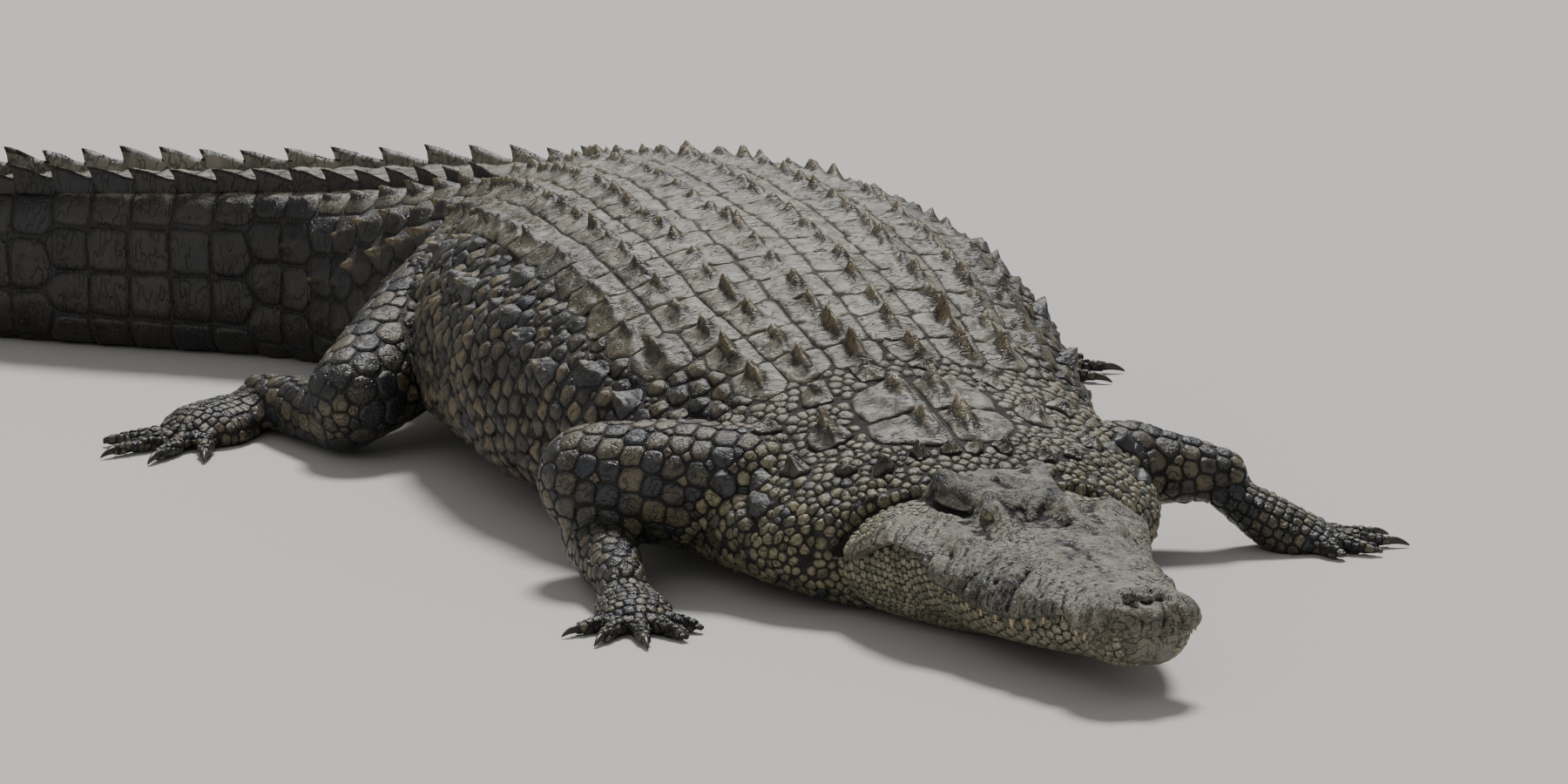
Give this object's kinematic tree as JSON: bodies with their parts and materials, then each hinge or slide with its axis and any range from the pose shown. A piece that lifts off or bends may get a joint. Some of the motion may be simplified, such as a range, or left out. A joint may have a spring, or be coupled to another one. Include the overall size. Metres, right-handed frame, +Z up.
{
  "type": "nile crocodile",
  "caption": "Life-size adult Nile crocodile lying on its belly, legs sprawled, tail swept to its right, with keeled back plates and a double tail crest.",
  "frame": {"origin": "on the floor under the middle of the trunk, on the flat of the belly", "axes": "-Y towards the snout, +X towards the animal's left, +Z up; the floor is z = 0"},
  "size_m": [2.059, 3.8328, 0.4178],
  "materials": {
    "head_skin": "dried grey-tan mud over cracked leathery skin",
    "trunk_skin": "keeled plates dusted with pale mud, ochre and blue-grey scales on the flanks",
    "tail_scutes": "large square dark brown-grey plates with thin grooves",
    "leg_scales": "wet cobble-like scales, mottled ochre and blue-grey",
    "claw_horn": "worn dark horn",
    "tooth": "stained ivory",
    "eye": "wet olive eye with a slit pupil"
  },
  "bodies": {
    "root": {"head": "head_skin", "lower_jaw": "head_skin", "eye_right": "eye", "eye_left": "eye", "ear_flap_right": "head_skin", "ear_flap_left": "head_skin", "neck": "trunk_skin", "chest": "trunk_skin", "belly": "trunk_skin", "pelvis": "trunk_skin", "tail_1": "tail_scutes", "tail_2": "tail_scutes", "tail_3": "tail_scutes", "tail_4": "tail_scutes", "tail_5": "tail_scutes", "tail_6": "tail_scutes", "upper_arm_right": "leg_scales", "forearm_right": "leg_scales", "hand_right": "leg_scales", "upper_arm_left": "leg_scales", "forearm_left": "leg_scales", "hand_left": "leg_scales", "thigh_right": "leg_scales", "shank_right": "leg_scales", "foot_right": "leg_scales", "thigh_left": "leg_scales", "shank_left": "leg_scales", "foot_left": "leg_scales", "claw_hand_right_1": "claw_horn", "claw_hand_right_2": "claw_horn", "claw_hand_right_3": "claw_horn", "claw_hand_left_1": "claw_horn", "claw_hand_left_2": "claw_horn", "claw_hand_left_3": "claw_horn", "claw_foot_right_1": "claw_horn", "claw_foot_right_2": "claw_horn", "claw_foot_right_3": "claw_horn", "claw_foot_left_1": "claw_horn", "claw_foot_left_2": "claw_horn", "claw_foot_left_3": "claw_horn"}
  },
  "joints": []
}
